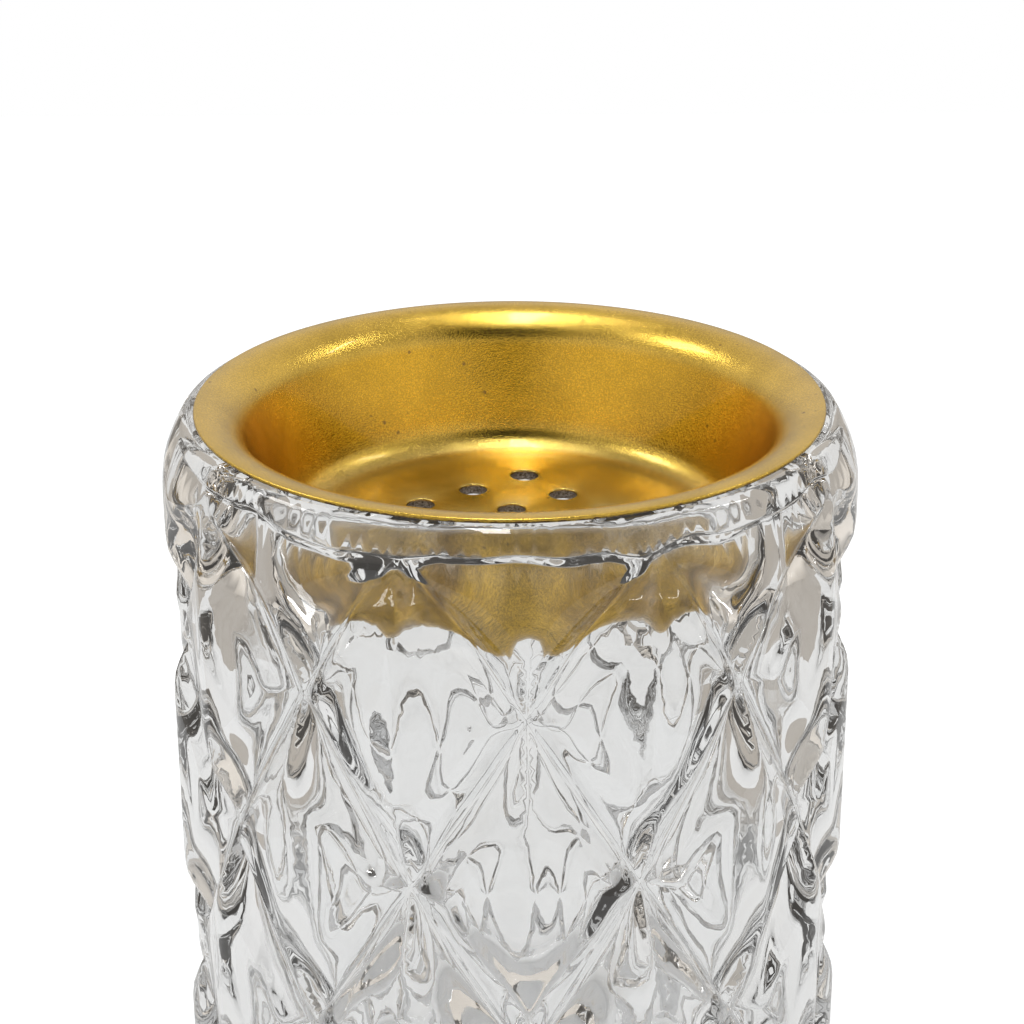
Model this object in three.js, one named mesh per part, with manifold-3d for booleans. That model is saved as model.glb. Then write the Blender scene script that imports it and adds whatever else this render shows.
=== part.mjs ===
// Glass incense burner: a pressed glass body with crossing diagonal V grooves, and a
// stamped metal charcoal cup that drops into its mouth and hangs by its flange.
// Millimetres, +Z up, origin at the centre of the underside, -Y is the front.
import * as THREE from 'three';
import { mergeVertices } from 'three/addons/utils/BufferGeometryUtils.js';
import Module from 'manifold-3d';

const wasm = await Module();
wasm.setup();

// Glass body, outside
const GLASS_HEIGHT = 103.2;
const RIM_SHOW = 1.1;
const RIM_ROUND = 0.5;
const SHOULDER_STEP = 2.8;
const SHOULDER_DROP = 8.5;
const FOOT_STEP = 3.2;
const FOOT_HEIGHT = 6;

// The cushions that the two sets of spiral grooves leave between them. Each has an upright
// ridge down its middle, and the relief fades out into the smooth shoulder.
const CUSHIONS_ROUND = 9;
const ROW_PITCH = 19.8;
const FIRST_ROW_DROP = 0.9;
const GROOVE_DEPTH = 3.3;
const FLANK_SLOPE = 0.85;
const FACET_DROP = 1.15;
const RELIEF_FADE = 14;
const PATTERN_TURN_DEG = 2.6;

// Glass body, inside and underneath. A narrow ledge runs round the bore under the rim.
const GLASS_FLOOR = 12;
const LEDGE_DROP = 6.4;
const LEDGE_WIDTH = 1.6;
const LEDGE_RISE = 1.3;
const LEDGE_RETURN = 7;
const BORE_TAPER = 1.5;
const BORE_EDGE_R = 1.5;
const BORE_CORNER_R = 6;
const PUNT_R = 24;
const PUNT_DEPTH = 1.2;
const PUNT_SLOPE = 3;

// Charcoal cup. Each hole is punched downwards, which leaves a short collar under the floor.
const SHEET = 0.5;
const FLANGE_R = 34;
const FLANGE_LAND = 0.9;
const LIP_ROLL_R = 4.8;
const WALL_LEAN_DEG = 20;
const CUP_DEPTH = 15.1;
const CUP_CORNER_R = 3.4;
const HOLE_R = 1.55;
const HOLE_PITCH = 7.3;
const HOLES_PER_SIDE = 4;
const HOLE_GRID_TURN_DEG = 36.5;
const HOLE_GRID_SHIFT = -0.6;
const COLLAR_DEPTH = 0.7;
const COLLAR_WALL = 0.35;

// Clearances
const SEAT_GAP = 0.3;
const CUP_PLAY = 2.2;

// Fineness of the faceted surfaces
const STEPS_PER_HALF_CUSHION = 5;
const CUP_SIDES = 72;
const HOLE_SIDES = 16;
const ROLL_STEPS = 6;
const CORNER_STEPS = 4;
const LEAST_RING_STEP = 0.4;

// Places that follow from the sizes
const RAD = Math.PI / 180;
const cushionAngle = 2 * Math.PI / CUSHIONS_ROUND;
const rimOuterR = FLANGE_R + RIM_SHOW;
const bodyR = rimOuterR + SHOULDER_STEP;
const footR = bodyR - FOOT_STEP;
const firstRowZ = GLASS_HEIGHT - FIRST_ROW_DROP;
const cushionArc = cushionAngle * bodyR;
const grooveToCrest = 0.5 / Math.hypot(1 / cushionArc, 0.5 / ROW_PITCH);
const lipCentreR = FLANGE_R - FLANGE_LAND;
const lipUnderR = LIP_ROLL_R - SHEET;
const boreR = lipCentreR - lipUnderR + CUP_PLAY;
const flangeTopZ = GLASS_HEIGHT + SEAT_GAP + SHEET;

// How far a number lies from the nearest whole number, from 0 to 1
function groovePhase(s) {
  return 2 * Math.abs(s - Math.round(s));
}

// How many cushions round from the pattern's start an angle lies
function cushionsRound(theta) {
  return (theta - PATTERN_TURN_DEG * RAD) / cushionAngle;
}

// Phases of the two groove sets at a point of the outside
function groovePhases(theta, z) {
  const u = cushionsRound(theta);
  const v = (firstRowZ - z) / ROW_PITCH - 1;
  return [groovePhase(u + v / 2), groovePhase(u - v / 2)];
}

// Depth of the facets between the upright ridges, which stand half a cushion apart
function facetDepth(theta) {
  const fromMiddle = 1 - groovePhase(2 * cushionsRound(theta));
  return FACET_DROP * (1 - fromMiddle * fromMiddle);
}

// Radius of the cushioned surface before the shoulder and the foot are cut
function cushionRadius(theta, z) {
  const fromGroove = Math.min(...groovePhases(theta, z)) * grooveToCrest;
  const depth = Math.max(GROOVE_DEPTH - FLANK_SLOPE * fromGroove, facetDepth(theta));
  const fade = Math.min((GLASS_HEIGHT - z) / RELIEF_FADE, 1);
  return bodyR - depth * fade * fade * (3 - 2 * fade);
}

// A parabola from the end's radius to the body's radius
function easedEnd(endR, distance, reach) {
  const left = 1 - Math.min(distance / reach, 1);
  return endR + (bodyR - endR) * (1 - left * left);
}

function glassOuterRadius(theta, z) {
  const shoulder = easedEnd(rimOuterR, GLASS_HEIGHT - z, SHOULDER_DROP);
  const foot = easedEnd(footR, z, FOOT_HEIGHT);
  return Math.min(cushionRadius(theta, z), shoulder, foot);
}

// Heights of the rings of the outside: the pattern's own rows, the rim and the base
function outerLevels() {
  const step = ROW_PITCH / STEPS_PER_HALF_CUSHION;
  const levels = [GLASS_HEIGHT];
  for (let z = firstRowZ; z > LEAST_RING_STEP; z -= step) {
    if (levels.at(-1) - z >= LEAST_RING_STEP) levels.push(z);
  }
  const lowest = levels.at(-1);
  if (lowest > 2 * LEAST_RING_STEP) levels.push(lowest / 2);
  levels.push(0);
  return levels;
}

// Points of an arc in the (r, z) half plane, from one angle to another in degrees
function arcPoints(centreR, centreZ, radius, fromDeg, toDeg, steps) {
  const points = [];
  for (let i = 0; i <= steps; i += 1) {
    const angle = (fromDeg + (toDeg - fromDeg) * i / steps) * RAD;
    points.push([centreR + radius * Math.cos(angle), centreZ + radius * Math.sin(angle)]);
  }
  return points;
}

// Bore from the rim inwards and down to the inner floor, as (r, z) points
function borePoints() {
  const bottomR = boreR - BORE_TAPER;
  const ledgeZ = GLASS_HEIGHT - LEDGE_DROP;
  const edgeZ = GLASS_HEIGHT - BORE_EDGE_R;
  const edge = arcPoints(boreR + BORE_EDGE_R, edgeZ, BORE_EDGE_R, 90, 180, CORNER_STEPS);
  const ledge = [
    [boreR, ledgeZ + LEDGE_RISE],
    [boreR - LEDGE_WIDTH, ledgeZ],
    [boreR, ledgeZ - LEDGE_RETURN],
  ];
  const cornerZ = GLASS_FLOOR + BORE_CORNER_R;
  const corner = arcPoints(bottomR - BORE_CORNER_R, cornerZ, BORE_CORNER_R, 0, -90, CORNER_STEPS);
  return [...edge, ...ledge, ...corner];
}

// Closed body from a stack of rings with equal counts, capped at both ends by a fan
function ringBody(rings, startCentre, endCentre, leansForward) {
  const count = rings[0].length;
  const positions = rings.flat(2);
  positions.push(...startCentre, ...endCentre);
  const start = rings.length * count;
  const end = start + 1;
  const index = [];
  for (let j = 0; j < rings.length - 1; j += 1) {
    for (let i = 0; i < count; i += 1) {
      const next = (i + 1) % count;
      const a = j * count + i;
      const b = j * count + next;
      const c = (j + 1) * count + i;
      const d = (j + 1) * count + next;
      if (leansForward(j, i)) {
        index.push(a, c, d, a, d, b);
      } else {
        index.push(a, c, b, b, c, d);
      }
    }
  }
  const last = (rings.length - 1) * count;
  for (let i = 0; i < count; i += 1) {
    const next = (i + 1) % count;
    index.push(start, i, next);
    index.push(end, last + next, last + i);
  }
  const geometry = new THREE.BufferGeometry();
  geometry.setAttribute('position', new THREE.Float32BufferAttribute(positions, 3));
  geometry.setIndex(index);
  return geometry;
}

function glassBodyGeometry() {
  const columns = 2 * STEPS_PER_HALF_CUSHION * CUSHIONS_ROUND;
  const levels = outerLevels();
  const bore = borePoints();
  const thetaAt = (i) => PATTERN_TURN_DEG * RAD + 2 * Math.PI * i / columns;
  const ring = (radiusAt, z) => Array.from({ length: columns }, (_, i) => {
    const theta = thetaAt(i);
    const r = radiusAt(theta);
    return [r * Math.sin(theta), -r * Math.cos(theta), z];
  });
  const inner = bore.reverse().map(([r, z]) => ring(() => r, z));
  const outer = levels.map((z) => {
    const round = z === GLASS_HEIGHT ? RIM_ROUND : 0;
    return ring((theta) => glassOuterRadius(theta, z) - round, z);
  });
  const under = [
    ring(() => PUNT_R + PUNT_SLOPE, 0),
    ring(() => PUNT_R, PUNT_DEPTH),
  ];
  const rings = [...inner, ...outer, ...under];
  // A quad's diagonal runs along the nearer groove, so each groove is one clean edge
  const leansForward = (j, i) => {
    const level = j - inner.length;
    if (level < 0 || level >= levels.length - 1) return false;
    const middleZ = (levels[level] + levels[level + 1]) / 2;
    const [plus, minus] = groovePhases(thetaAt(i + 0.5), middleZ);
    return minus < plus;
  };
  return ringBody(rings, [0, 0, GLASS_FLOOR], [0, 0, PUNT_DEPTH], leansForward);
}

function toSolid(geometry) {
  const bare = geometry.clone();
  bare.deleteAttribute('normal');
  bare.deleteAttribute('uv');
  const merged = mergeVertices(bare, 1e-5);
  return new wasm.Manifold(new wasm.Mesh({
    numProp: 3,
    vertProperties: new Float32Array(merged.attributes.position.array),
    triVerts: new Uint32Array(merged.index.array),
  }));
}

function toGeometry(solid) {
  const mesh = solid.getMesh();
  const geometry = new THREE.BufferGeometry();
  geometry.setAttribute('position', new THREE.Float32BufferAttribute(mesh.vertProperties, 3));
  geometry.setIndex(Array.from(mesh.triVerts));
  return geometry;
}

// One side of the cup's sheet, from the flange's edge to the axis, offset below the
// upper face by the given amount
function sheetFace(offset) {
  const leanEnd = 180 - WALL_LEAN_DEG;
  const lean = Math.tan(WALL_LEAN_DEG * RAD);
  const rollEndR = lipCentreR - LIP_ROLL_R * Math.cos(WALL_LEAN_DEG * RAD);
  const rollEndZ = -LIP_ROLL_R + LIP_ROLL_R * Math.sin(WALL_LEAN_DEG * RAD);
  const cornerZ = -CUP_DEPTH + CUP_CORNER_R;
  const touchZ = cornerZ - CUP_CORNER_R * Math.sin(WALL_LEAN_DEG * RAD);
  const touchR = rollEndR - (rollEndZ - touchZ) * lean;
  const cornerR = touchR - CUP_CORNER_R * Math.cos(WALL_LEAN_DEG * RAD);
  return [
    [FLANGE_R, -offset],
    ...arcPoints(lipCentreR, -LIP_ROLL_R, LIP_ROLL_R - offset, 90, leanEnd, ROLL_STEPS),
    ...arcPoints(cornerR, cornerZ, CUP_CORNER_R + offset, -WALL_LEAN_DEG, -90, CORNER_STEPS),
    [0, -CUP_DEPTH - offset],
  ];
}

// Upright cylinder between two heights
function cylinderSolid(radius, topZ, bottomZ, x, y) {
  const cylinder = new THREE.CylinderGeometry(radius, radius, topZ - bottomZ, HOLE_SIDES);
  cylinder.rotateX(Math.PI / 2);
  cylinder.translate(x, y, (topZ + bottomZ) / 2);
  return toSolid(cylinder);
}

// Centres of the punched holes, a square grid turned about the axis
function holeCentres() {
  const turn = HOLE_GRID_TURN_DEG * RAD;
  const middle = (HOLES_PER_SIDE - 1) / 2;
  const centres = [];
  for (let row = 0; row < HOLES_PER_SIDE; row += 1) {
    for (let column = 0; column < HOLES_PER_SIDE; column += 1) {
      const a = (row - middle) * HOLE_PITCH;
      const b = (column - middle) * HOLE_PITCH;
      const x = HOLE_GRID_SHIFT + a * Math.cos(turn) - b * Math.sin(turn);
      const y = a * Math.sin(turn) + b * Math.cos(turn);
      centres.push([x, y]);
    }
  }
  return centres;
}

// The cup in its own frame, with the flange's upper face at z = 0
function charcoalCupGeometry() {
  const outline = [...sheetFace(SHEET).reverse(), ...sheetFace(0)];
  const sheet = new THREE.LatheGeometry(outline.map(([r, z]) => new THREE.Vector2(r, z)), CUP_SIDES);
  sheet.rotateX(Math.PI / 2);
  let cup = toSolid(sheet);
  const floorMiddleZ = -CUP_DEPTH - SHEET / 2;
  const collarEndZ = -CUP_DEPTH - SHEET - COLLAR_DEPTH;
  for (const [x, y] of holeCentres()) {
    const collar = cylinderSolid(HOLE_R + COLLAR_WALL, floorMiddleZ, collarEndZ, x, y);
    const hole = cylinderSolid(HOLE_R, floorMiddleZ + SHEET, collarEndZ - SHEET, x, y);
    cup = cup.add(collar).subtract(hole);
  }
  return toGeometry(cup);
}

const glassMaterial = new THREE.MeshStandardMaterial({
  color: 0xe9edee,
  roughness: 0.03,
  metalness: 0,
  transparent: true,
  opacity: 0.35,
});
const goldMaterial = new THREE.MeshStandardMaterial({
  color: 0xc9962f,
  roughness: 0.34,
  metalness: 1,
});

const glassBody = new THREE.Mesh(glassBodyGeometry(), glassMaterial);
glassBody.name = 'glass_body';

const charcoalCup = new THREE.Mesh(charcoalCupGeometry(), goldMaterial);
charcoalCup.name = 'charcoal_cup';
charcoalCup.position.z = flangeTopZ;

const burner = new THREE.Group();
burner.add(glassBody, charcoalCup);

export default burner;
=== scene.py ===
# Looks of a glass incense burner: clear pressed glass with diamond cushions, and a
# gold stamped charcoal cup that hangs in its mouth. Metres, +Z up, -Y is the front.
import math

import bmesh
import bpy
from mathutils import Euler, Matrix, Vector, noise


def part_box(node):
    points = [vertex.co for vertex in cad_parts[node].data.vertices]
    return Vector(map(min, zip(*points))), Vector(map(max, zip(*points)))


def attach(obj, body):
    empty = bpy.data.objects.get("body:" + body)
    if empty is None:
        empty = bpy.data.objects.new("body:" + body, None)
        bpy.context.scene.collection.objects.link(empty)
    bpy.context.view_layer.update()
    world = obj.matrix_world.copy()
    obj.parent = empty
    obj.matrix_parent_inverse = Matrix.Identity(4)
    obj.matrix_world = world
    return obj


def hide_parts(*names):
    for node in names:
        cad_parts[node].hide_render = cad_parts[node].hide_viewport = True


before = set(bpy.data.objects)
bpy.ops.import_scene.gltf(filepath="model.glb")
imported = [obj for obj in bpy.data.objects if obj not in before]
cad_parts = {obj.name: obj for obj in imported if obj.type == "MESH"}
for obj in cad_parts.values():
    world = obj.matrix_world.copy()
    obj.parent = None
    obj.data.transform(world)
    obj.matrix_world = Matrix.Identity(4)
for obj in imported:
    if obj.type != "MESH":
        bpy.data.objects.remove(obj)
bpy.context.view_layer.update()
MM = 0.001

# Glass sizes, in millimetres, as in the part
CUSHIONS_ROUND = 9
ROW_PITCH = 19.8
FIRST_ROW_DROP = 0.9
GROOVE_DEPTH = 3.3
FLANK_SLOPE = 0.85
FACET_DROP = 1.15
RELIEF_FADE = 14
PATTERN_TURN_DEG = 2.6
RIM_SHOW = 1.1
SHOULDER_STEP = 2.8
SHOULDER_DROP = 8.5
FOOT_STEP = 3.2
FOOT_HEIGHT = 6
GLASS_FLOOR = 12
LEDGE_DROP = 6.4
LEDGE_WIDTH = 1.6
LEDGE_RISE = 1.3
LEDGE_RETURN = 7
BORE_EDGE_R = 1.5
BORE_CORNER_R = 6
PUNT_R = 24
PUNT_DEPTH = 1.2
PUNT_SLOPE = 3
PUNT_CROWN = 0.1
PUNT_EASE = 1.5
RING_EDGE = 1
RING_EDGE_RISE = 0.05
CUP_PLAY = 2.2

# Cup sizes, in millimetres, as in the part
SHEET = 0.5
FLANGE_R = 34
FLANGE_LAND = 0.9
LIP_ROLL_R = 4.8
WALL_LEAN_DEG = 20
CUP_DEPTH = 15.1
CUP_CORNER_R = 3.4
HOLE_R = 1.55
HOLE_PITCH = 7.3
HOLES_PER_SIDE = 4
HOLE_GRID_TURN_DEG = 36.5
HOLE_GRID_SHIFT = -0.6
COLLAR_DEPTH = 0.7
COLLAR_WALL = 0.35

# The bore's wall, which follows the cushions a little and is wavy from the mould
LEAST_WALL = 4
BORE_RELIEF = 2.64
BORE_RELIEF_SHARPNESS = 3.5
BORE_EASE_TOP = 14
BORE_EASE_BOTTOM = 8
WAVE_HEIGHT = 0.2
WAVE_WIDTH = 2.2
WAVE_LENGTH = 40
LEDGE_SWAY = 1.6
LEDGE_SWAY_WIDTH = 7

# Softness of the real edges, in millimetres
RIM_LIFT = 0.25
RIM_ROUND = 0.7
FOOT_ROUND = 1.2
SHOULDER_BLEND = 0.35
FLANK_BLEND = 1.0
RIDGE_SOFTNESS = 0.12
SHEET_EDGE_R = 0.2
HOLE_ROUND = 0.22

# Softness of the pattern, as shares of half a cushion
GROOVE_SOFTNESS = 0.03
CREST_SOFTNESS = 0.03
BORE_CREST_SOFTNESS = 0.3

# Fineness of the meshes
CUSHION_SEGMENTS = 30
BORE_CUSHION_SEGMENTS = 20
ROWS_ABOVE = 2
GRID_CROWDING = 1.6
BORE_SEGMENTS = 288
BORE_JOIN = 0.3
BORE_EDGE_STEPS = 10
BORE_CORNER_STEPS = 16
CUP_SEGMENTS = 240
LIP_STEPS = 20
CUP_CORNER_STEPS = 16
SHEET_EDGE_STEPS = 4
HOLE_SEGMENTS = 40
HOLE_ROUND_STEPS = 3
GLASS_SHARP_DEG = 60
CUP_SHARP_DEG = 35

# Rings of edges at the rounded rim and foot, and up the ledge, as shares of their heights
EDGE_RINGS = (0.04, 0.15, 0.35, 0.6, 1)
LEDGE_RINGS = (0, 0.2, 0.4, 0.6, 0.8, 1)

# How near counts as touching: in millimetres, and in cushions on the pattern laid flat
TOUCH = 1e-3
RIM_REACH = 0.5
FLAT_TOUCH = 1e-5
CREST_TOUCH = 1e-4
SCORE_REACH = 0.2

# Finish: scales of the patterns per metre, and the streaks as a share of the ripples
GRAIN_PER_METRE = 5500
CLOUDS_PER_METRE = 130
SPECKS_PER_METRE = 520
PITTED_AREAS_PER_METRE = 180
RAGGED_WEAR_PER_METRE = 900
RIPPLES_PER_METRE = 330
STREAKS_PER_METRE = 900
SMUDGES_PER_METRE = 70
RIPPLE_STRETCH = (1, 1, 0.08)
STREAK_STRETCH = (1, 1, 0.02)
STREAK_SHARE = 0.4

# Surfaces: bump heights and the streaks' fade in millimetres, roughness, coat and strengths
GRAIN_HEIGHT = 0.03
RIPPLE_HEIGHT = 0.12
STREAK_FADE = 0.5
GLASS_IOR = 1.52
SMUDGE_ROUGHNESS = 0.03
GOLD_ROUGHNESS = (0.13, 0.18)
FLECK_ROUGHNESS = 0.08
FLECK_SHADES = (0.82, 1.1)
GOLD_COAT = 0.4
GOLD_COAT_ROUGHNESS = 0.06
PIT_STRENGTH = 0.7
WORN_METAL_LOSS = 0.6
STEEL_ROUGHNESS = (0.3, 0.5)

# Wear on the flange's edge: how far in it reaches, and between which depths it starts
EDGE_WEAR = 0.12
WEAR_DEPTHS = (0.42, 0.18)

# Depths below the flange, in millimetres, between which the cup's painted reflection tints come and go
WALL_PAINTED_REFLECTION_STARTS = (2.6, 4)
WALL_PAINTED_REFLECTION_ENDS = (11.5, 13)
FLOOR_PAINTED_REFLECTION_STARTS = (13, 14.8)

# Colours. The gold's wall and floor tints are painted reflection, fitted: they make up for reflections
# inside the cup that come out too orange, and the real cup seems to have one finish all over
GLASS_CLEAR = (0.95, 0.956, 0.96, 1)
GLASS_SMUDGED = (0.925, 0.93, 0.935, 1)
GLASS_GLOW_COLOUR = (1, 0.95, 0.9, 1)
GLASS_GLOW = 0.006
GOLD_DARK = (0.62, 0.42, 0.065, 1)
GOLD_LIGHT = (0.76, 0.52, 0.09, 1)
GOLD_WALL_PAINTED_REFLECTION = (1.06, 0.95, 0.45, 1)
GOLD_FLOOR_PAINTED_REFLECTION = (0.72, 0.77, 1.15, 1)
# Painted shade: the cup's underside, seen through the glass, is painted darker and mottled in place of
# the shade and dark reflections it gets there
UNDERSIDE_SHADE_DARK = (0.24, 0.13, 0.015, 1)
UNDERSIDE_SHADE_LIGHT = (0.8, 0.5, 0.06, 1)
NO_PAINTED_REFLECTION = (1, 1, 1, 1)
PIT_BROWN = (0.20, 0.11, 0.04, 1)
WORN_BROWN = (0.16, 0.09, 0.035, 1)
STEEL_DARK = (0.12, 0.09, 0.07, 1)
STEEL_LIGHT = (0.5, 0.45, 0.4, 1)
TABLE_GREY = (0.48, 0.5, 0.52, 1)
TABLE_GLOW_COLOUR = (0.98, 0.99, 1, 1)

# Stage: the table's sizes in millimetres, its glow, and the room's levels from straight
# down (0) through the horizon (0.5) to straight up (1)
TABLE_WIDTH = 340
TABLE_DEPTH = 700
TABLE_SET_BACK = 200
TABLE_GLOW = 0.34
TABLE_WHITE = 0.4
BACK_LEVELS = ((0.495, 0.45), (0.51, 0.38), (0.67, 0.85), (0.9, 0.72))
FRONT_LEVELS = ((0.495, 0.42), (0.51, 0.6), (0.62, 0.95), (0.8, 0.6))
ROOM_TINT = (1, 0.92, 0.82)

# The room's turn from front to back along Y, and its dark patch high in front: the patch's
# direction, its level, and how near to that direction its edge fades, as a cosine
FRONT_TO_BACK = (-0.3, 0.3)
DARK_LEVEL = 0.05
DARK_DIRECTION = (0.0, -0.70, 0.715)
DARK_EDGE = (0.88, 0.95)

# Camera of the photograph, measured from the flange's upper face
PHOTO_SIZE = 1024
CAMERA_DISTANCE = 259.3
CAMERA_HEIGHT = 94.6
CAMERA_PITCH_DEG = 22.61
CAMERA_ROLL_DEG = -0.24
FOCAL_PIXELS = 2554
CENTRE_PIXEL_X = 510.0
SENSOR_MM = 36.0

# Places that follow from the sizes and the frame
glass_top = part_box("glass_body")[1].z / MM + RIM_LIFT
flange_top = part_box("charcoal_cup")[1].z / MM
rim_outer_r = FLANGE_R + RIM_SHOW
body_r = rim_outer_r + SHOULDER_STEP
foot_r = body_r - FOOT_STEP
lip_centre_r = FLANGE_R - FLANGE_LAND
bore_r = lip_centre_r - (LIP_ROLL_R - SHEET) + CUP_PLAY
bore_top_z = glass_top - BORE_EDGE_R - BORE_JOIN
bore_bottom_z = GLASS_FLOOR + BORE_CORNER_R + BORE_JOIN
ledge_z = glass_top - RIM_LIFT - LEDGE_DROP
first_row_z = glass_top - RIM_LIFT - FIRST_ROW_DROP
cushion_arc = math.tau * body_r / CUSHIONS_ROUND
groove_to_crest = 0.5 / math.hypot(1 / cushion_arc, 0.5 / ROW_PITCH)


# Mesh helpers

def finish_mesh(bm, name, materials, sharp_deg=None):
    """Turns a bmesh in millimetres into an object in metres with its own finish."""
    bmesh.ops.scale(bm, vec=(MM, MM, MM), verts=bm.verts)
    mesh = bpy.data.meshes.new(name)
    bm.to_mesh(mesh)
    bm.free()
    mesh.shade_smooth()
    if sharp_deg is not None:
        mesh.set_sharp_from_angle(angle=math.radians(sharp_deg))
    for material in materials:
        mesh.materials.append(material)
    piece = bpy.data.objects.new(name, mesh)
    bpy.context.scene.collection.objects.link(piece)
    return piece


def arc(centre_r, centre_z, radius, from_deg, to_deg, steps):
    """Points of an arc in the (r, z) half plane."""
    points = []
    for i in range(steps + 1):
        angle = math.radians(from_deg + (to_deg - from_deg) * i / steps)
        points.append((centre_r + radius * math.cos(angle), centre_z + radius * math.sin(angle)))
    return points


def spin_profile(bm, points, segments):
    """Spins an open (r, z) outline a full turn about the axis and returns the new faces."""
    verts = [bm.verts.new((r, 0, z)) for r, z in points]
    edges = [bm.edges.new(pair) for pair in zip(verts, verts[1:])]
    before = set(bm.faces)
    bmesh.ops.spin(
        bm, geom=verts + edges, cent=(0, 0, 0), axis=(0, 0, 1),
        angle=math.tau, steps=segments, use_merge=True)
    return [f for f in bm.faces if f not in before]


def open_edges(bm, low_z, high_z, least_r=0, most_r=math.inf):
    """Edges with one face whose middle lies between two heights and two radii."""
    found = []
    for edge in bm.edges:
        if len(edge.link_faces) != 1:
            continue
        middle = (edge.verts[0].co + edge.verts[1].co) / 2
        radius = math.hypot(middle.x, middle.y)
        if low_z - TOUCH < middle.z < high_z + TOUCH and least_r < radius < most_r:
            found.append(edge)
    return found


def soft_min(a, b, softness):
    """The lesser of two numbers, rounded where they meet."""
    h = max(softness - abs(a - b), 0) / softness
    return min(a, b) - h * h * softness / 4


# Glass body

def groove_phase(s, softness):
    """0 on a groove, 1 half-way between two, with the groove's bottom rounded."""
    t = 2 * abs(s - round(s))
    return math.sqrt(t * t + softness ** 2) - softness


def cushion_phase(u, v, crest_softness):
    """0 in the grooves round a cushion, rising to 1 at its middle."""
    first = groove_phase(u + v / 2, GROOVE_SOFTNESS)
    second = groove_phase(u - v / 2, GROOVE_SOFTNESS)
    return min(max(soft_min(first, second, crest_softness), 0), 1)


def eased(share):
    """A smooth step from 0 to 1."""
    share = min(max(share, 0), 1)
    return share * share * (3 - 2 * share)


def cushion_radius(u, v, z):
    """Flanks that rise from the grooves to hollow facets between upright ridges."""
    flank = body_r - GROOVE_DEPTH + FLANK_SLOPE * groove_to_crest * cushion_phase(u, v, CREST_SOFTNESS)
    from_middle = 1 - groove_phase(2 * u, RIDGE_SOFTNESS)
    facet = body_r - FACET_DROP * (1 - from_middle * from_middle)
    depth = body_r - soft_min(flank, facet, FLANK_BLEND)
    return body_r - depth * eased((glass_top - z) / RELIEF_FADE)


def eased_end(end_r, distance, reach):
    """A radius that curves out from an end of the glass to the full body."""
    left = 1 - min(distance / reach, 1)
    return end_r + (body_r - end_r) * (1 - left * left)


def rounded_off(distance, radius):
    """How far a rounded edge draws in at a distance from its end."""
    if distance >= radius:
        return 0
    return radius - math.sqrt(radius ** 2 - (radius - max(distance, 0)) ** 2)


def outer_radius(u, v, z):
    """The cushions, cut in by the shoulder and the foot, with the rim and foot rounded."""
    shoulder = eased_end(rim_outer_r, glass_top - z, SHOULDER_DROP)
    radius = soft_min(cushion_radius(u, v, z), shoulder, SHOULDER_BLEND)
    radius = soft_min(radius, eased_end(foot_r, z, FOOT_HEIGHT), SHOULDER_BLEND)
    return radius - rounded_off(glass_top - z, RIM_ROUND) - rounded_off(z, FOOT_ROUND)


def ledge_depth(z):
    """How far the ledge stands in: its upper face is steep, and below it slopes back."""
    if z > ledge_z:
        return LEDGE_WIDTH * eased((ledge_z + LEDGE_RISE - z) / LEDGE_RISE)
    return LEDGE_WIDTH * max(1 - (ledge_z - z) / LEDGE_RETURN, 0)


def bore_radius(u, v, z):
    """The bore is round at its two ends and follows the cushions between them."""
    relief = BORE_RELIEF * (1 - cushion_phase(u, v, BORE_CREST_SOFTNESS)) ** BORE_RELIEF_SHARPNESS
    followed = body_r - LEAST_WALL - relief
    angle = math.tau * u / CUSHIONS_ROUND
    x = bore_r * math.cos(angle)
    y = bore_r * math.sin(angle)
    place = Vector((x / WAVE_WIDTH, y / WAVE_WIDTH, z / WAVE_LENGTH))
    followed += WAVE_HEIGHT * noise.noise(place)
    from_top = eased((bore_top_z - z) / BORE_EASE_TOP)
    from_bottom = eased((z - bore_bottom_z) / BORE_EASE_BOTTOM)
    return bore_r + (followed - bore_r) * from_top * from_bottom - ledge_depth(z)


def crowd(x):
    """Moves a grid line from the middle of a cushion towards its grooves."""
    from_groove = 1 - 2 * abs(x)
    return math.copysign((1 - from_groove ** GRID_CROWDING) / 2, x)


def cushion_sheet(segments):
    """The pattern laid flat: x counts cushions round, y counts rows down."""
    bm = bmesh.new()
    rows = range(-ROWS_ABOVE, math.ceil(first_row_z / ROW_PITCH) + 1)
    for row in rows:
        for i in range(CUSHIONS_ROUND):
            grid = bmesh.ops.create_grid(bm, x_segments=segments, y_segments=segments, size=0.5)
            centre_u = i + (0.5 if row % 2 == 0 else 0)
            for vert in grid["verts"]:
                a = crowd(vert.co.x)
                b = crowd(vert.co.y)
                vert.co = (centre_u + (a + b) / 2, row + a - b, 0)
    bmesh.ops.remove_doubles(bm, verts=bm.verts, dist=FLAT_TOUCH)
    return bm


def height_to_row(z):
    """A height as a place on the pattern laid flat, in rows."""
    return (first_row_z - z) / ROW_PITCH - 1


def trim_sheet(bm, top_z, bottom_z):
    """Cuts the flat sheet off at two heights."""
    for z, above in ((top_z, True), (bottom_z, False)):
        bmesh.ops.bisect_plane(
            bm, geom=bm.verts[:] + bm.edges[:] + bm.faces[:], dist=FLAT_TOUCH,
            plane_co=(0, height_to_row(z), 0), plane_no=(0, 1, 0),
            clear_outer=not above, clear_inner=above)


def score_sheet(bm, z):
    """Adds a line of edges to the flat sheet at a height."""
    row = height_to_row(z)
    near = [f for f in bm.faces if abs(f.verts[0].co.y - row) < SCORE_REACH]
    edges = list({e for f in near for e in f.edges})
    verts = list({v for f in near for v in f.verts})
    bmesh.ops.bisect_plane(
        bm, geom=verts + edges + near, dist=FLAT_TOUCH, plane_co=(0, row, 0), plane_no=(0, 1, 0))


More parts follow.
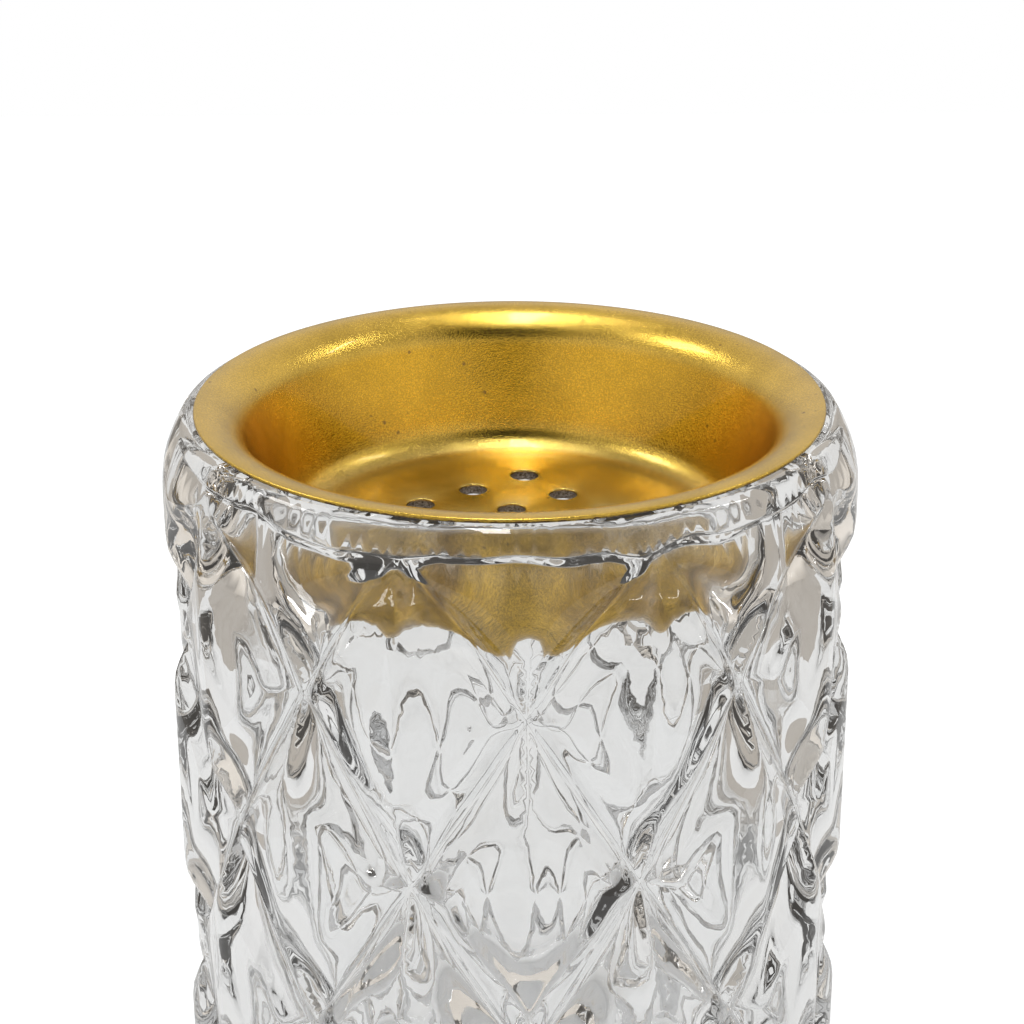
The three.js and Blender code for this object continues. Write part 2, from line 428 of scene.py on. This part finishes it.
def split_crests(bm):
    """Joins the points of each crest, so that no face is folded across it."""
    crests = []
    for vert in bm.verts:
        u, v = vert.co.x, vert.co.y
        if abs(groove_phase(u + v / 2, 0) - groove_phase(u - v / 2, 0)) < CREST_TOUCH:
            crests.append(vert)
    bmesh.ops.connect_verts(bm, verts=crests)


def wrap_sheet(bm, radius_at):
    """Bends the flat sheet round the axis, with each point at its own radius."""
    for vert in bm.verts:
        u, v = vert.co.x, vert.co.y
        theta = math.radians(PATTERN_TURN_DEG) + math.tau * u / CUSHIONS_ROUND
        z = first_row_z - (v + 1) * ROW_PITCH
        radius = radius_at(u, v, z)
        vert.co = (radius * math.sin(theta), -radius * math.cos(theta), z)
    bmesh.ops.remove_doubles(bm, verts=bm.verts, dist=TOUCH)


def sway_ledge(bm):
    """Lets the ledge rise and fall round the bore, as the mould left it."""
    for vert in bm.verts:
        x, y, z = vert.co
        near = eased(1 - abs(z - ledge_z) / LEDGE_RETURN)
        near *= eased((bore_top_z - z) / (bore_top_z - ledge_z - LEDGE_RISE))
        vert.co.z += LEDGE_SWAY * near * noise.noise(Vector((x, y, 0)) / LEDGE_SWAY_WIDTH)


def glass_outside():
    """The cushioned outside, from the foot to the rim."""
    bm = cushion_sheet(CUSHION_SEGMENTS)
    trim_sheet(bm, glass_top, 0)
    for share in EDGE_RINGS:
        score_sheet(bm, glass_top - share * RIM_ROUND)
        score_sheet(bm, share * FOOT_ROUND)
    split_crests(bm)
    wrap_sheet(bm, outer_radius)
    return bm


def glass_bore():
    """The bore's wall with its ledge, between the rounded edge and the floor's corner."""
    bm = cushion_sheet(BORE_CUSHION_SEGMENTS)
    trim_sheet(bm, bore_top_z, bore_bottom_z)
    for share in LEDGE_RINGS:
        score_sheet(bm, ledge_z + share * LEDGE_RISE)
    score_sheet(bm, ledge_z - LEDGE_RETURN)
    wrap_sheet(bm, bore_radius)
    sway_ledge(bm)
    return bm


def add_copy(bm, other):
    """Copies one bmesh into another."""
    mesh = bpy.data.meshes.new("passing")
    other.to_mesh(mesh)
    other.free()
    bm.from_mesh(mesh)
    bpy.data.meshes.remove(mesh)


def glass_body(material):
    """Outside, bore, floor and punt as one closed skin."""
    bm = bmesh.new()
    edge_z = glass_top - BORE_EDGE_R
    edge = arc(bore_r + BORE_EDGE_R, edge_z, BORE_EDGE_R, 90, 180, BORE_EDGE_STEPS)
    spin_profile(bm, edge, BORE_SEGMENTS)
    corner_z = GLASS_FLOOR + BORE_CORNER_R
    corner = arc(bore_r - BORE_CORNER_R, corner_z, BORE_CORNER_R, 0, -90, BORE_CORNER_STEPS)
    spin_profile(bm, corner + [(0, GLASS_FLOOR)], BORE_SEGMENTS)
    ring_r = PUNT_R + PUNT_SLOPE
    crown = PUNT_DEPTH + PUNT_CROWN
    ring = [(ring_r + RING_EDGE, 0), (ring_r, RING_EDGE_RISE)]
    punt = [(PUNT_R, PUNT_DEPTH), (PUNT_R - PUNT_EASE, crown), (0, crown)]
    spin_profile(bm, ring + punt, BORE_SEGMENTS)
    add_copy(bm, glass_outside())
    add_copy(bm, glass_bore())
    bmesh.ops.remove_doubles(bm, verts=bm.verts, dist=TOUCH)
    gaps = ((glass_top, glass_top), (bore_top_z, edge_z), (corner_z, bore_bottom_z), (0, 0))
    for low_z, high_z in gaps:
        bmesh.ops.bridge_loops(bm, edges=open_edges(bm, low_z, high_z))
    bmesh.ops.recalc_face_normals(bm, faces=bm.faces)
    return finish_mesh(bm, "glass_body_cut", [material], GLASS_SHARP_DEG)


# Charcoal cup

def sheet_face(offset):
    """One side of the cup's sheet, from the flange inwards to the floor's edge, as (r, z)."""
    lean = math.radians(WALL_LEAN_DEG)
    roll_end_r = lip_centre_r - LIP_ROLL_R * math.cos(lean)
    roll_end_z = LIP_ROLL_R * (math.sin(lean) - 1)
    corner_z = CUP_CORNER_R - CUP_DEPTH
    touch_z = corner_z - CUP_CORNER_R * math.sin(lean)
    touch_r = roll_end_r - (roll_end_z - touch_z) * math.tan(lean)
    corner_r = touch_r - CUP_CORNER_R * math.cos(lean)
    lip = arc(lip_centre_r, -LIP_ROLL_R, LIP_ROLL_R - offset, 90, 180 - WALL_LEAN_DEG, LIP_STEPS)
    corner = arc(corner_r, corner_z, CUP_CORNER_R + offset, -WALL_LEAN_DEG, -90, CUP_CORNER_STEPS)
    return [(r, z + flange_top) for r, z in lip + corner]


def hole_centres():
    """The middles of the holes, in a square grid turned about the cup's axis."""
    turn = Matrix.Rotation(math.radians(HOLE_GRID_TURN_DEG), 2)
    middle = (HOLES_PER_SIDE - 1) / 2
    for row in range(HOLES_PER_SIDE):
        for column in range(HOLES_PER_SIDE):
            place = turn @ Vector(((row - middle) * HOLE_PITCH, (column - middle) * HOLE_PITCH))
            yield place + Vector((HOLE_GRID_SHIFT, 0))


def hole_outline():
    """A hole from its rounded mouth down its collar and back up outside it, as (r, z)."""
    mouth = arc(HOLE_R + HOLE_ROUND, -HOLE_ROUND, HOLE_ROUND, 90, 180, HOLE_ROUND_STEPS)
    end_z = -SHEET - COLLAR_DEPTH
    collar = [(HOLE_R, end_z), (HOLE_R + COLLAR_WALL / 2, end_z), (HOLE_R + COLLAR_WALL, -SHEET)]
    return mouth + collar


def hole_ring(bm, centre, radius, z):
    """Adds a level ring round a hole's middle and returns its edges."""
    ring = bmesh.ops.create_circle(
        bm, segments=HOLE_SEGMENTS, radius=radius,
        matrix=Matrix.Translation((centre.x, centre.y, z)))
    return list({edge for vert in ring["verts"] for edge in vert.link_edges})


def charcoal_cup(gold, underside_shade_gold, bare):
    """The sheet's two sides and edge, with the floor filled in round the holes."""
    materials = [gold, underside_shade_gold, bare]
    bm = bmesh.new()
    upper = sheet_face(0)
    under = sheet_face(SHEET)
    edge_r = FLANGE_R - SHEET_EDGE_R
    edge_low_z = flange_top - SHEET + SHEET_EDGE_R
    edge_top = arc(edge_r, flange_top - SHEET_EDGE_R, SHEET_EDGE_R, 0, 90, SHEET_EDGE_STEPS)
    edge_low = arc(edge_r, edge_low_z, SHEET_EDGE_R, -90, 0, SHEET_EDGE_STEPS)
    # The underside gets the gold with painted shade: darker mottled colour in place of its shade and
    # dark reflections
    for face in spin_profile(bm, under[::-1] + edge_low[:1], CUP_SEGMENTS):
        face.material_index = materials.index(underside_shade_gold)
    spin_profile(bm, edge_low + edge_top + upper, CUP_SEGMENTS)
    bmesh.ops.remove_doubles(bm, verts=bm.verts, dist=TOUCH)
    top_z = upper[-1][1]
    low_z = under[-1][1]
    top_rings = []
    low_rings = []
    for centre in hole_centres():
        rings = [hole_ring(bm, centre, r, top_z + z) for r, z in hole_outline()]
        for i, pair in enumerate(zip(rings, rings[1:])):
            metal = gold if i < HOLE_ROUND_STEPS else bare
            for face in bmesh.ops.bridge_loops(bm, edges=pair[0] + pair[1])["faces"]:
                face.material_index = materials.index(metal)
        top_rings += rings[0]
        low_rings += rings[-1]
    for z, rings, r in ((top_z, top_rings, upper[-1][0]), (low_z, low_rings, under[-1][0])):
        rim = open_edges(bm, z, z, r - RIM_REACH, r + RIM_REACH)
        filled = bmesh.ops.triangle_fill(bm, edges=rim + rings, use_beauty=True, use_dissolve=False)
        # The floor's underside also gets the gold with painted shade
        for face in filled["geom"]:
            if isinstance(face, bmesh.types.BMFace) and z == low_z:
                face.material_index = materials.index(underside_shade_gold)
    bmesh.ops.recalc_face_normals(bm, faces=bm.faces)
    return finish_mesh(bm, "charcoal_cup_formed", materials, CUP_SHARP_DEG)


# Shared effects, as shader node groups

def effect_group(name, inputs, outputs):
    """A node group with float outputs, an Object vector input and named float inputs."""
    group = bpy.data.node_groups.new(name, "ShaderNodeTree")
    group.interface.new_socket("Vector", in_out="INPUT", socket_type="NodeSocketVector")
    for label, value in inputs.items():
        socket = group.interface.new_socket(label, in_out="INPUT", socket_type="NodeSocketFloat")
        socket.default_value = value
    for label in outputs:
        group.interface.new_socket(label, in_out="OUTPUT", socket_type="NodeSocketFloat")
    source = group.nodes.new("NodeGroupInput")
    sink = group.nodes.new("NodeGroupOutput")
    return group, source, sink


def math_node(tree, operation, first, second):
    """A math node whose two inputs are sockets or numbers."""
    node = tree.nodes.new("ShaderNodeMath")
    node.operation = operation
    for slot, value in zip(node.inputs, (first, second)):
        if isinstance(value, bpy.types.NodeSocket):
            tree.links.new(value, slot)
        else:
            slot.default_value = value
    return node.outputs[0]


def map_range(tree, value, from_low, from_high, to_low=0.0, to_high=1.0, smooth=True):
    """A value brought from one range to another, held at both ends."""
    node = tree.nodes.new("ShaderNodeMapRange")
    node.interpolation_type = "SMOOTHSTEP" if smooth else "LINEAR"
    tree.links.new(value, node.inputs["Value"])
    node.inputs["From Min"].default_value = from_low
    node.inputs["From Max"].default_value = from_high
    node.inputs["To Min"].default_value = to_low
    node.inputs["To Max"].default_value = to_high
    return node.outputs["Result"]


def noise_at(tree, vector, scale, detail=2.0, roughness=0.5, stretch=None):
    """A noise value; stretch scales the pattern along the three axes first."""
    if stretch is not None:
        mapping = tree.nodes.new("ShaderNodeMapping")
        mapping.inputs["Scale"].default_value = stretch
        tree.links.new(vector, mapping.inputs["Vector"])
        vector = mapping.outputs["Vector"]
    node = tree.nodes.new("ShaderNodeTexNoise")
    tree.links.new(vector, node.inputs["Vector"])
    node.inputs["Scale"].default_value = scale
    node.inputs["Detail"].default_value = detail
    node.inputs["Roughness"].default_value = roughness
    return node.outputs["Fac"]


def radius_of(tree, vector):
    """Distance from the object's axis."""
    flat = tree.nodes.new("ShaderNodeVectorMath")
    flat.operation = "MULTIPLY"
    flat.inputs[1].default_value = (1, 1, 0)
    tree.links.new(vector, flat.inputs[0])
    length = tree.nodes.new("ShaderNodeVectorMath")
    length.operation = "LENGTH"
    tree.links.new(flat.outputs["Vector"], length.inputs[0])
    return length.outputs["Value"]


def depth_of(tree, vector):
    """Depth below the flange's upper face."""
    place = tree.nodes.new("ShaderNodeSeparateXYZ")
    tree.links.new(vector, place.inputs[0])
    return math_node(tree, "SUBTRACT", flange_top * MM, place.outputs["Z"])


def sprayed_grain():
    """Fine metallic flake: Fleck is light and dark grains, Cloud is slow mottling."""
    group, source, sink = effect_group("sprayed_grain", {}, ("Fleck", "Cloud"))
    vector = source.outputs["Vector"]
    fleck = noise_at(group, vector, GRAIN_PER_METRE, 2.5, 0.65)
    cloud = noise_at(group, vector, CLOUDS_PER_METRE, 3.0, 0.55)
    group.links.new(map_range(group, fleck, 0.32, 0.68), sink.inputs["Fleck"])
    group.links.new(map_range(group, cloud, 0.3, 0.7), sink.inputs["Cloud"])
    return group


def dark_specks():
    """Sparse small pits where the sheet shows through the finish."""
    group, source, sink = effect_group("dark_specks", {}, ("Speck",))
    vector = source.outputs["Vector"]
    cells = group.nodes.new("ShaderNodeTexVoronoi")
    group.links.new(vector, cells.inputs["Vector"])
    cells.inputs["Scale"].default_value = SPECKS_PER_METRE
    near = map_range(group, cells.outputs["Distance"], 0.06, 0.16, 1.0, 0.0)
    patches = noise_at(group, vector, PITTED_AREAS_PER_METRE, 1.0, 0.5)
    chosen = map_range(group, patches, 0.56, 0.66)
    group.links.new(math_node(group, "MULTIPLY", near, chosen), sink.inputs["Speck"])
    return group


def rim_wear():
    """Wear at the flange's lower outer edge, ragged by noise: 1 at the edge, 0 inside it."""
    sizes = {"Edge": FLANGE_R * MM, "Reach": EDGE_WEAR * MM}
    group, source, sink = effect_group("rim_wear", sizes, ("Wear",))
    vector = source.outputs["Vector"]
    inset = math_node(group, "SUBTRACT", source.outputs["Edge"], radius_of(group, vector))
    ragged = noise_at(group, vector, RAGGED_WEAR_PER_METRE, 3.0, 0.7)
    uneven = map_range(group, ragged, 0.3, 0.7, 0.4, 1.6)
    reach = math_node(group, "MULTIPLY", source.outputs["Reach"], uneven)
    wear = math_node(group, "LESS_THAN", inset, reach)
    start = map_range(group, ragged, 0.3, 0.7, WEAR_DEPTHS[0] * MM, WEAR_DEPTHS[1] * MM)
    low = math_node(group, "GREATER_THAN", depth_of(group, vector), start)
    group.links.new(math_node(group, "MULTIPLY", wear, low), sink.inputs["Wear"])
    return group


def pressed_ripple():
    """Upright ripples left by the mould, finer in the bore, and faint smudges from handling."""
    group, source, sink = effect_group("pressed_ripple", {}, ("Ripple", "Smudge"))
    vector = source.outputs["Vector"]
    ripple = noise_at(group, vector, RIPPLES_PER_METRE, 1.0, 0.4, RIPPLE_STRETCH)
    streak = noise_at(group, vector, STREAKS_PER_METRE, 0.0, 0.5, STREAK_STRETCH)
    bore_end = (body_r - LEAST_WALL) * MM
    past_bore = bore_end + STREAK_FADE * MM
    in_bore = map_range(group, radius_of(group, vector), bore_end, past_bore, STREAK_SHARE, 0.0)
    height = math_node(group, "ADD", ripple, math_node(group, "MULTIPLY", streak, in_bore))
    smudge = noise_at(group, vector, SMUDGES_PER_METRE, 4.0, 0.6)
    group.links.new(height, sink.inputs["Ripple"])
    group.links.new(map_range(group, smudge, 0.52, 0.74), sink.inputs["Smudge"])
    return group


# Materials

def new_material(name):
    """A material with its node tree, its Object coordinates and its main shader."""
    material = bpy.data.materials.new(name)
    material.use_nodes = True
    tree = material.node_tree
    coords = tree.nodes.new("ShaderNodeTexCoord")
    return material, tree, coords, tree.nodes["Principled BSDF"]


def add_effect(tree, group, coords):
    """Places a shared effect in a material."""
    node = tree.nodes.new("ShaderNodeGroup")
    node.node_tree = group
    tree.links.new(coords.outputs["Object"], node.inputs["Vector"])
    return node


def mix_colour(tree, factor, first, second, blend="MIX"):
    """A colour mix whose three inputs are sockets, a number or colours."""
    node = tree.nodes.new("ShaderNodeMix")
    node.data_type = "RGBA"
    node.blend_type = blend
    slots = (node.inputs["Factor"], node.inputs[6], node.inputs[7])
    for slot, value in zip(slots, (factor, first, second)):
        if isinstance(value, bpy.types.NodeSocket):
            tree.links.new(value, slot)
        else:
            slot.default_value = value
    return node.outputs[2]


def bump(tree, shader, height, strength, full_height):
    """Roughens a shader's normal by a height value; its full height is in millimetres."""
    node = tree.nodes.new("ShaderNodeBump")
    node.inputs["Strength"].default_value = strength
    node.inputs["Distance"].default_value = full_height * MM
    tree.links.new(height, node.inputs["Height"])
    tree.links.new(node.outputs["Normal"], shader.inputs["Normal"])


def clear_glass(ripple_group):
    """Clear pressed glass; its faint glow stands in for light lost between its walls."""
    material, tree, coords, shader = new_material("clear_pressed_glass")
    shader.inputs["IOR"].default_value = GLASS_IOR
    shader.inputs["Transmission Weight"].default_value = 1.0
    shader.inputs["Emission Color"].default_value = GLASS_GLOW_COLOUR
    shader.inputs["Emission Strength"].default_value = GLASS_GLOW
    effect = add_effect(tree, ripple_group, coords)
    smudge = effect.outputs["Smudge"]
    colour = mix_colour(tree, smudge, GLASS_CLEAR, GLASS_SMUDGED)
    tree.links.new(colour, shader.inputs["Base Color"])
    rough = map_range(tree, smudge, 0, 1, 0.0, SMUDGE_ROUGHNESS)
    tree.links.new(rough, shader.inputs["Roughness"])
    bump(tree, shader, effect.outputs["Ripple"], 0.3, RIPPLE_HEIGHT)
    return material


def below(tree, depth, fade):
    """0 above a fade between two depths in millimetres, 1 below it."""
    return map_range(tree, depth, fade[0] * MM, fade[1] * MM)


def satin_gold(name, dark, light, wall_painted_reflection, floor_painted_reflection, grain_group, speck_group, wear_group):
    """Metallic gold paint; dark and light are its colours under the slow mottling, and on the
    underside they are painted shade; the wall and floor tints are painted reflection, laid on by
    depth.
    """
    material, tree, coords, shader = new_material(name)
    grain = add_effect(tree, grain_group, coords)
    specks = add_effect(tree, speck_group, coords)
    wear = add_effect(tree, wear_group, coords)
    fleck = grain.outputs["Fleck"]
    cloud = grain.outputs["Cloud"]
    colour = mix_colour(tree, cloud, dark, light)
    depth = depth_of(tree, coords.outputs["Object"])
    # Painted reflection: the wall and the floor are tinted by depth below the flange, in place of
    # reflections inside the cup
    above_floor = math_node(tree, "SUBTRACT", 1.0, below(tree, depth, WALL_PAINTED_REFLECTION_ENDS))
    painted_reflection_on_wall = math_node(tree, "MULTIPLY", below(tree, depth, WALL_PAINTED_REFLECTION_STARTS), above_floor)
    colour = mix_colour(tree, painted_reflection_on_wall, colour, wall_painted_reflection, "MULTIPLY")
    colour = mix_colour(tree, below(tree, depth, FLOOR_PAINTED_REFLECTION_STARTS), colour, floor_painted_reflection, "MULTIPLY")
    shade = map_range(tree, fleck, 0, 1, *FLECK_SHADES)
    colour = mix_colour(tree, 1.0, colour, shade, "MULTIPLY")
    pits = math_node(tree, "MULTIPLY", specks.outputs["Speck"], PIT_STRENGTH)
    colour = mix_colour(tree, pits, colour, PIT_BROWN)
    colour = mix_colour(tree, wear.outputs["Wear"], colour, WORN_BROWN)
    tree.links.new(colour, shader.inputs["Base Color"])
    rough = map_range(tree, cloud, 0, 1, *GOLD_ROUGHNESS)
    rough = math_node(tree, "ADD", rough, math_node(tree, "MULTIPLY", fleck, FLECK_ROUGHNESS))
    tree.links.new(rough, shader.inputs["Roughness"])
    loss = math_node(tree, "MULTIPLY", wear.outputs["Wear"], WORN_METAL_LOSS)
    metal = math_node(tree, "SUBTRACT", 1.0, loss)
    tree.links.new(metal, shader.inputs["Metallic"])
    shader.inputs["Coat Weight"].default_value = GOLD_COAT
    shader.inputs["Coat Roughness"].default_value = GOLD_COAT_ROUGHNESS
    bump(tree, shader, fleck, 0.35, GRAIN_HEIGHT)
    return material


def bare_steel(grain_group):
    """The sheet's raw metal in the punched holes."""
    material, tree, coords, shader = new_material("bare_steel")
    grain = add_effect(tree, grain_group, coords)
    colour = mix_colour(tree, grain.outputs["Fleck"], STEEL_DARK, STEEL_LIGHT)
    tree.links.new(colour, shader.inputs["Base Color"])
    shader.inputs["Metallic"].default_value = 1.0
    rough = map_range(tree, grain.outputs["Cloud"], 0, 1, *STEEL_ROUGHNESS)
    tree.links.new(rough, shader.inputs["Roughness"])
    bump(tree, shader, grain.outputs["Fleck"], 0.4, GRAIN_HEIGHT)
    return material


# Stage, light and camera

def background_share(tree):
    """1 for camera, mirror and see-through rays, which see the background, and the ray node."""
    path = tree.nodes.new("ShaderNodeLightPath")
    seen = math_node(tree, "MAXIMUM", path.outputs["Is Camera Ray"], path.outputs["Is Glossy Ray"])
    return math_node(tree, "MAXIMUM", seen, path.outputs["Is Transmission Ray"]), path


def studio_table():
    """A pale table top, small enough for the glass to show the room past its edge."""
    bm = bmesh.new()
    place = Matrix.Translation((0, TABLE_SET_BACK, 0))
    sides = Matrix.Diagonal((TABLE_WIDTH / 2, TABLE_DEPTH / 2, 1, 1))
    bmesh.ops.create_grid(bm, x_segments=1, y_segments=1, size=1, matrix=place @ sides)
    material, tree, coords, shader = new_material("pale_table")
    shader.inputs["Base Color"].default_value = TABLE_GREY
    shader.inputs["Roughness"].default_value = 0.9
    shader.inputs["Specular IOR Level"].default_value = 0.0
    shader.inputs["Emission Color"].default_value = TABLE_GLOW_COLOUR
    share, path = background_share(tree)
    seen = math_node(tree, "MULTIPLY", share, TABLE_GLOW)
    straight = math_node(tree, "MULTIPLY", path.outputs["Is Camera Ray"], TABLE_WHITE)
    tree.links.new(math_node(tree, "ADD", seen, straight), shader.inputs["Emission Strength"])
    table = finish_mesh(bm, "studio_table", [material])


def room_ramp(tree, height, levels):
    """The room's grey-brown level against height, from straight down (0) to straight up (1)."""
    ramp = tree.nodes.new("ShaderNodeValToRGB")
    tree.links.new(height, ramp.inputs["Fac"])
    for place, level in levels[2:]:
        ramp.color_ramp.elements.new(place)
    for element, (place, level) in zip(ramp.color_ramp.elements, levels):
        element.position = place
        element.color = [level * share for share in ROOM_TINT] + [1]
    return ramp.outputs["Color"]


def studio_world():
    """A room round the table, dark high in front; white where the camera looks into it."""
    world = bpy.data.worlds.new("studio")
    bpy.context.scene.world = world
    world.use_nodes = True
    tree = world.node_tree
    background = tree.nodes["Background"]
    coords = tree.nodes.new("ShaderNodeTexCoord")
    split = tree.nodes.new("ShaderNodeSeparateXYZ")
    tree.links.new(coords.outputs["Generated"], split.inputs[0])
    height = map_range(tree, split.outputs["Z"], -1, 1, smooth=False)
    back = room_ramp(tree, height, BACK_LEVELS)
    front = room_ramp(tree, height, FRONT_LEVELS)
    behind = map_range(tree, split.outputs["Y"], *FRONT_TO_BACK)
    room = mix_colour(tree, behind, front, back)
    towards = tree.nodes.new("ShaderNodeVectorMath")
    towards.operation = "DOT_PRODUCT"
    tree.links.new(coords.outputs["Generated"], towards.inputs[0])
    towards.inputs[1].default_value = DARK_DIRECTION
    shade = map_range(tree, towards.outputs["Value"], *DARK_EDGE)
    room = mix_colour(tree, shade, room, (DARK_LEVEL, DARK_LEVEL, DARK_LEVEL, 1))
    path = tree.nodes.new("ShaderNodeLightPath")
    colour = mix_colour(tree, path.outputs["Is Camera Ray"], room, (1, 1, 1, 1))
    tree.links.new(colour, background.inputs["Color"])
    background.inputs["Strength"].default_value = 1.0


def softbox(name, place, target, width, height, watts):
    """A rectangular lamp, hidden from the camera, that faces a target."""
    lamp = bpy.data.lights.new(name, "AREA")
    lamp.shape = "RECTANGLE"
    lamp.size = width
    lamp.size_y = height
    lamp.energy = watts
    lit = bpy.data.objects.new(name, lamp)
    lit.location = place
    lit.rotation_euler = (Vector(target) - Vector(place)).to_track_quat("-Z", "Y").to_euler()
    lit.visible_camera = False
    bpy.context.scene.collection.objects.link(lit)


def studio_lights():
    """Three weak lamps: one over the object and one on each side."""
    middle = (0, 0, 0.08)
    softbox("left_softbox", (-0.75, 0.15, 0.85), middle, 0.4, 0.2, 1.8)
    softbox("right_softbox", (0.8, 0.1, 0.9), middle, 0.06, 0.3, 0.8)
    softbox("top_softbox", (-0.05, 0.0, 1.1), middle, 0.7, 0.1, 3.2)


def photo_camera():
    """The camera at the photograph's place, tilt and focal length."""
    lens = bpy.data.cameras.new("photo_camera")
    lens.sensor_width = SENSOR_MM
    lens.lens = FOCAL_PIXELS / PHOTO_SIZE * SENSOR_MM
    lens.shift_x = (PHOTO_SIZE / 2 - CENTRE_PIXEL_X) / PHOTO_SIZE
    lens.clip_start = 0.01
    lens.clip_end = 50
    camera = bpy.data.objects.new("photo_camera", lens)
    camera.location = (0, -CAMERA_DISTANCE * MM, (flange_top + CAMERA_HEIGHT) * MM)
    look = Euler((math.radians(90 - CAMERA_PITCH_DEG), 0, 0)).to_matrix()
    roll = Matrix.Rotation(math.radians(CAMERA_ROLL_DEG), 3, "Z")
    camera.rotation_euler = (look @ roll).to_euler()
    bpy.context.scene.collection.objects.link(camera)
    bpy.context.scene.camera = camera


# The object

grain = sprayed_grain()
glass = glass_body(clear_glass(pressed_ripple()))
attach(glass, "glass")
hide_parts("glass_body")

specks = dark_specks()
wear = rim_wear()
gold = satin_gold(
    "satin_gold", GOLD_DARK, GOLD_LIGHT, GOLD_WALL_PAINTED_REFLECTION, GOLD_FLOOR_PAINTED_REFLECTION, grain, specks, wear)
# Gold for the cup's underside: painted shade, darker and mottled, with no painted reflection tints
underside_shade_gold = satin_gold(
    "underside_painted_shade_gold", UNDERSIDE_SHADE_DARK, UNDERSIDE_SHADE_LIGHT, NO_PAINTED_REFLECTION, NO_PAINTED_REFLECTION, grain, specks, wear)
cup = charcoal_cup(gold, underside_shade_gold, bare_steel(grain))
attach(cup, "cup")
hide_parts("charcoal_cup")

studio_table()
studio_world()
studio_lights()
photo_camera()
bpy.context.scene.view_settings.view_transform = "Standard"
